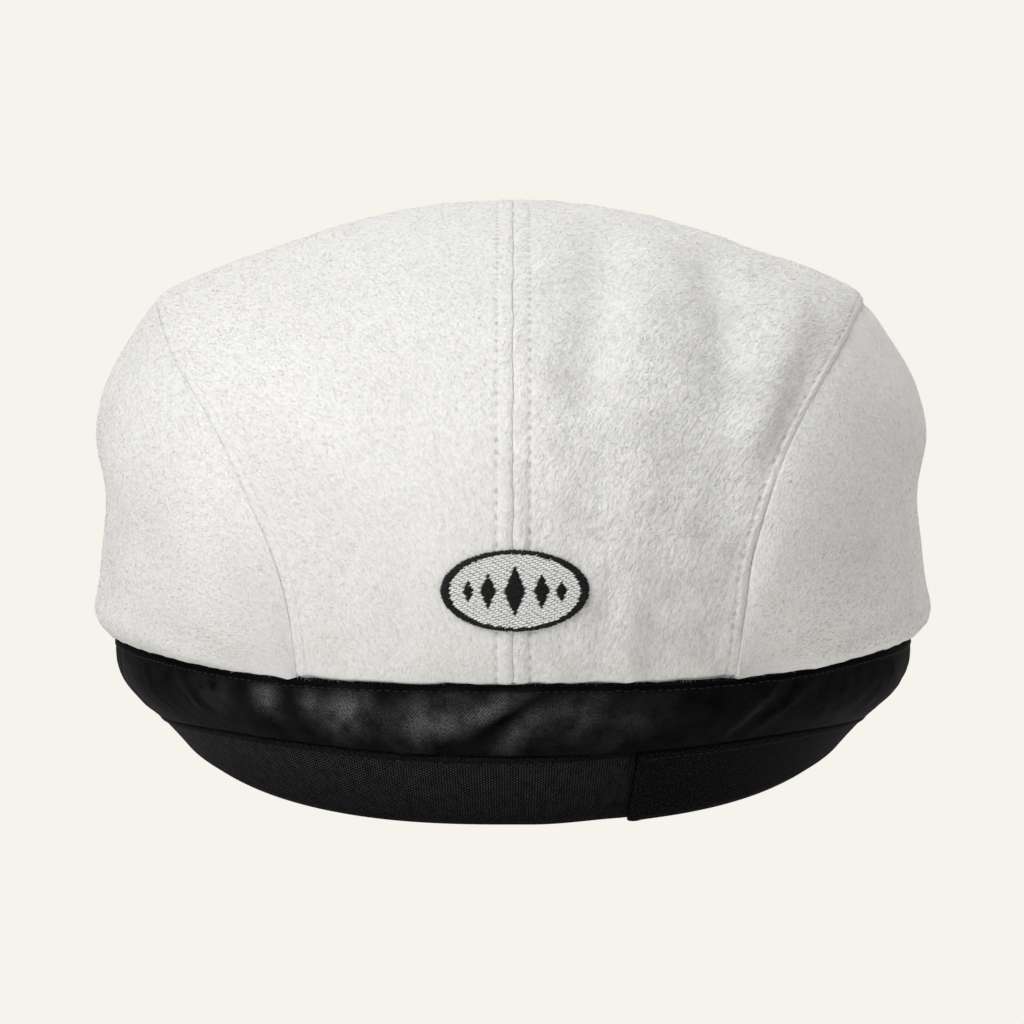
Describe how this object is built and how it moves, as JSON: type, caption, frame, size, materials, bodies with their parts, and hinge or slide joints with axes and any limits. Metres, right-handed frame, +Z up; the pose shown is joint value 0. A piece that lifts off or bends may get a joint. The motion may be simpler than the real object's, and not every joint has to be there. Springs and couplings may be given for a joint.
{
  "type": "flat cap",
  "caption": "Flat cap of four fleece panels with a short peak, a black satin band and a ribbed sweatband hanging below its rim, and an oval patch at the back.",
  "frame": {"origin": "centre of the head opening, at half the height of the sweatband", "axes": "+Y forward to the peak, +X to the wearer's right, +Z up"},
  "size_m": [0.2085, 0.2774, 0.142],
  "materials": {
    "white_fleece": "soft brushed off-white fleece",
    "black_satin": "black satin with a soft sheen",
    "black_ribbon": "matt black grosgrain ribbon",
    "badge_thread": "embroidered thread, pale grey with a black border"
  },
  "bodies": {
    "root": {"top_panel_left": "white_fleece", "top_panel_right": "white_fleece", "side_panel_left": "white_fleece", "side_panel_right": "white_fleece", "satin_band": "black_satin", "sweatband": "black_ribbon", "peak": "white_fleece", "badge": "badge_thread"}
  },
  "joints": []
}
